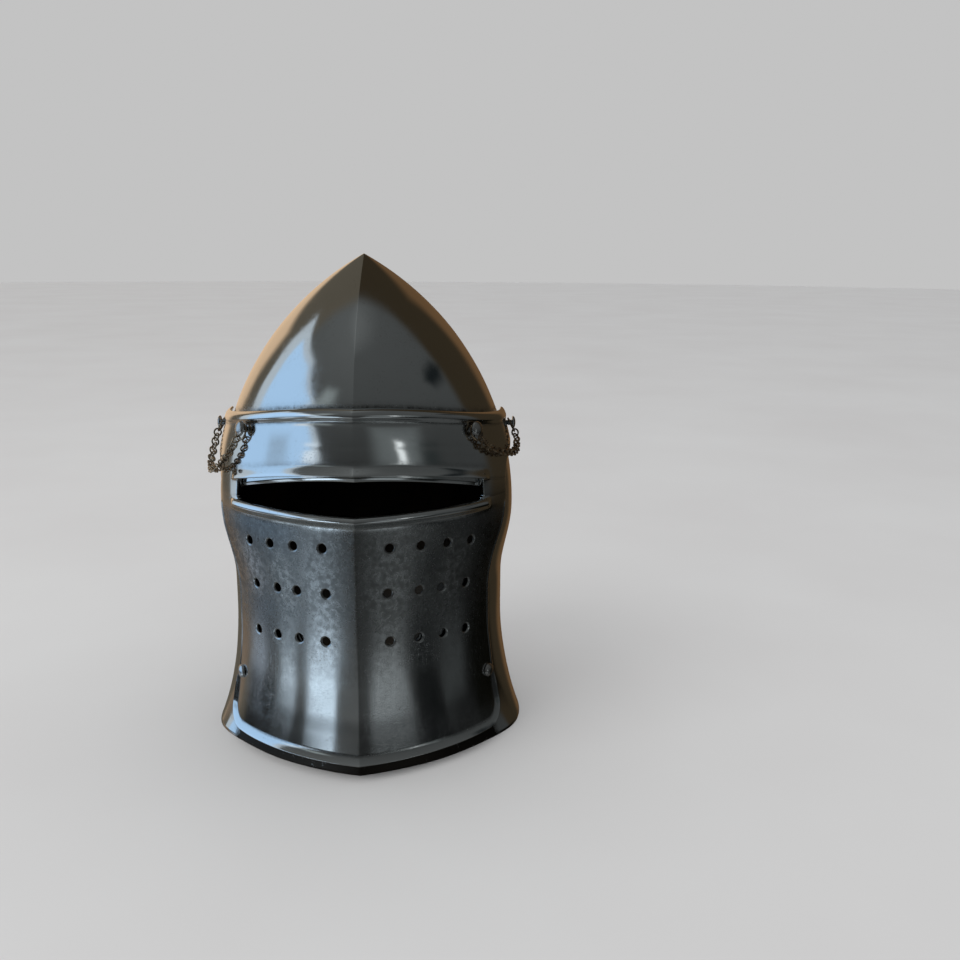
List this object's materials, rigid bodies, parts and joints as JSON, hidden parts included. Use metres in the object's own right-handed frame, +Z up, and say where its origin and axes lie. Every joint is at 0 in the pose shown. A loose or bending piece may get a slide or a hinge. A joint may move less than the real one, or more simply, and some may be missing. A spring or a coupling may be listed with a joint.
{
  "type": "visored barbute helmet",
  "caption": "Pointed steel barbute helmet with a keeled full-face visor that has a sight slot and breath holes, lifts on pins at the temples, and has short pin chains.",
  "frame": {"origin": "middle of the base, on the plane that the helmet stands on", "axes": "+Z up, the face and the visor's keel towards -Y, +X to the right seen from the front"},
  "size_m": [0.2154, 0.2286, 0.326],
  "materials": {
    "polished_steel": "polished to a soft mirror, with fine scratches",
    "rivet_steel": "polished",
    "blackened_steel": "blackened, worn bright on the rings' edges"
  },
  "bodies": {
    "helmet": {"skull": "polished_steel"},
    "visor": {"chain_left_01": "blackened_steel", "chain_left_02": "blackened_steel", "chain_left_03": "blackened_steel", "chain_left_04": "blackened_steel", "chain_left_05": "blackened_steel", "chain_left_06": "blackened_steel", "chain_left_07": "blackened_steel", "chain_left_08": "blackened_steel", "chain_left_09": "blackened_steel", "chain_left_10": "blackened_steel", "chain_left_11": "blackened_steel", "chain_left_12": "blackened_steel", "chain_left_13": "blackened_steel", "chain_left_14": "blackened_steel", "chain_left_15": "blackened_steel", "chain_left_16": "blackened_steel", "chain_left_17": "blackened_steel", "chain_left_18": "blackened_steel", "chain_left_19": "blackened_steel", "chain_left_20": "blackened_steel", "chain_left_21": "blackened_steel", "chain_left_22": "blackened_steel", "chain_left_23": "blackened_steel", "chain_left_24": "blackened_steel", "chain_left_25": "blackened_steel", "chain_left_26": "blackened_steel", "chain_left_back": "blackened_steel", "chain_left_front": "blackened_steel", "chain_right_01": "blackened_steel", "chain_right_02": "blackened_steel", "chain_right_03": "blackened_steel", "chain_right_04": "blackened_steel", "chain_right_05": "blackened_steel", "chain_right_06": "blackened_steel", "chain_right_07": "blackened_steel", "chain_right_08": "blackened_steel", "chain_right_09": "blackened_steel", "chain_right_10": "blackened_steel", "chain_right_11": "blackened_steel", "chain_right_12": "blackened_steel", "chain_right_13": "blackened_steel", "chain_right_14": "blackened_steel", "chain_right_15": "blackened_steel", "chain_right_16": "blackened_steel", "chain_right_17": "blackened_steel", "chain_right_18": "blackened_steel", "chain_right_19": "blackened_steel", "chain_right_20": "blackened_steel", "chain_right_21": "blackened_steel", "chain_right_22": "blackened_steel", "chain_right_back": "blackened_steel", "chain_right_front": "blackened_steel", "chain_stud_left": "rivet_steel", "chain_stud_right": "rivet_steel", "pivot_left": "rivet_steel", "pivot_right": "rivet_steel", "side_rivet_left": "rivet_steel", "side_rivet_right": "rivet_steel", "visor": "polished_steel"}
  },
  "joints": [
    {"name": "visor_lift", "type": "hinge", "parent": "helmet", "child": "visor", "pos_m": [0, -0.0018, 0.212], "axis": [-1, 0, 0], "range_deg": [0, 55]}
  ]
}
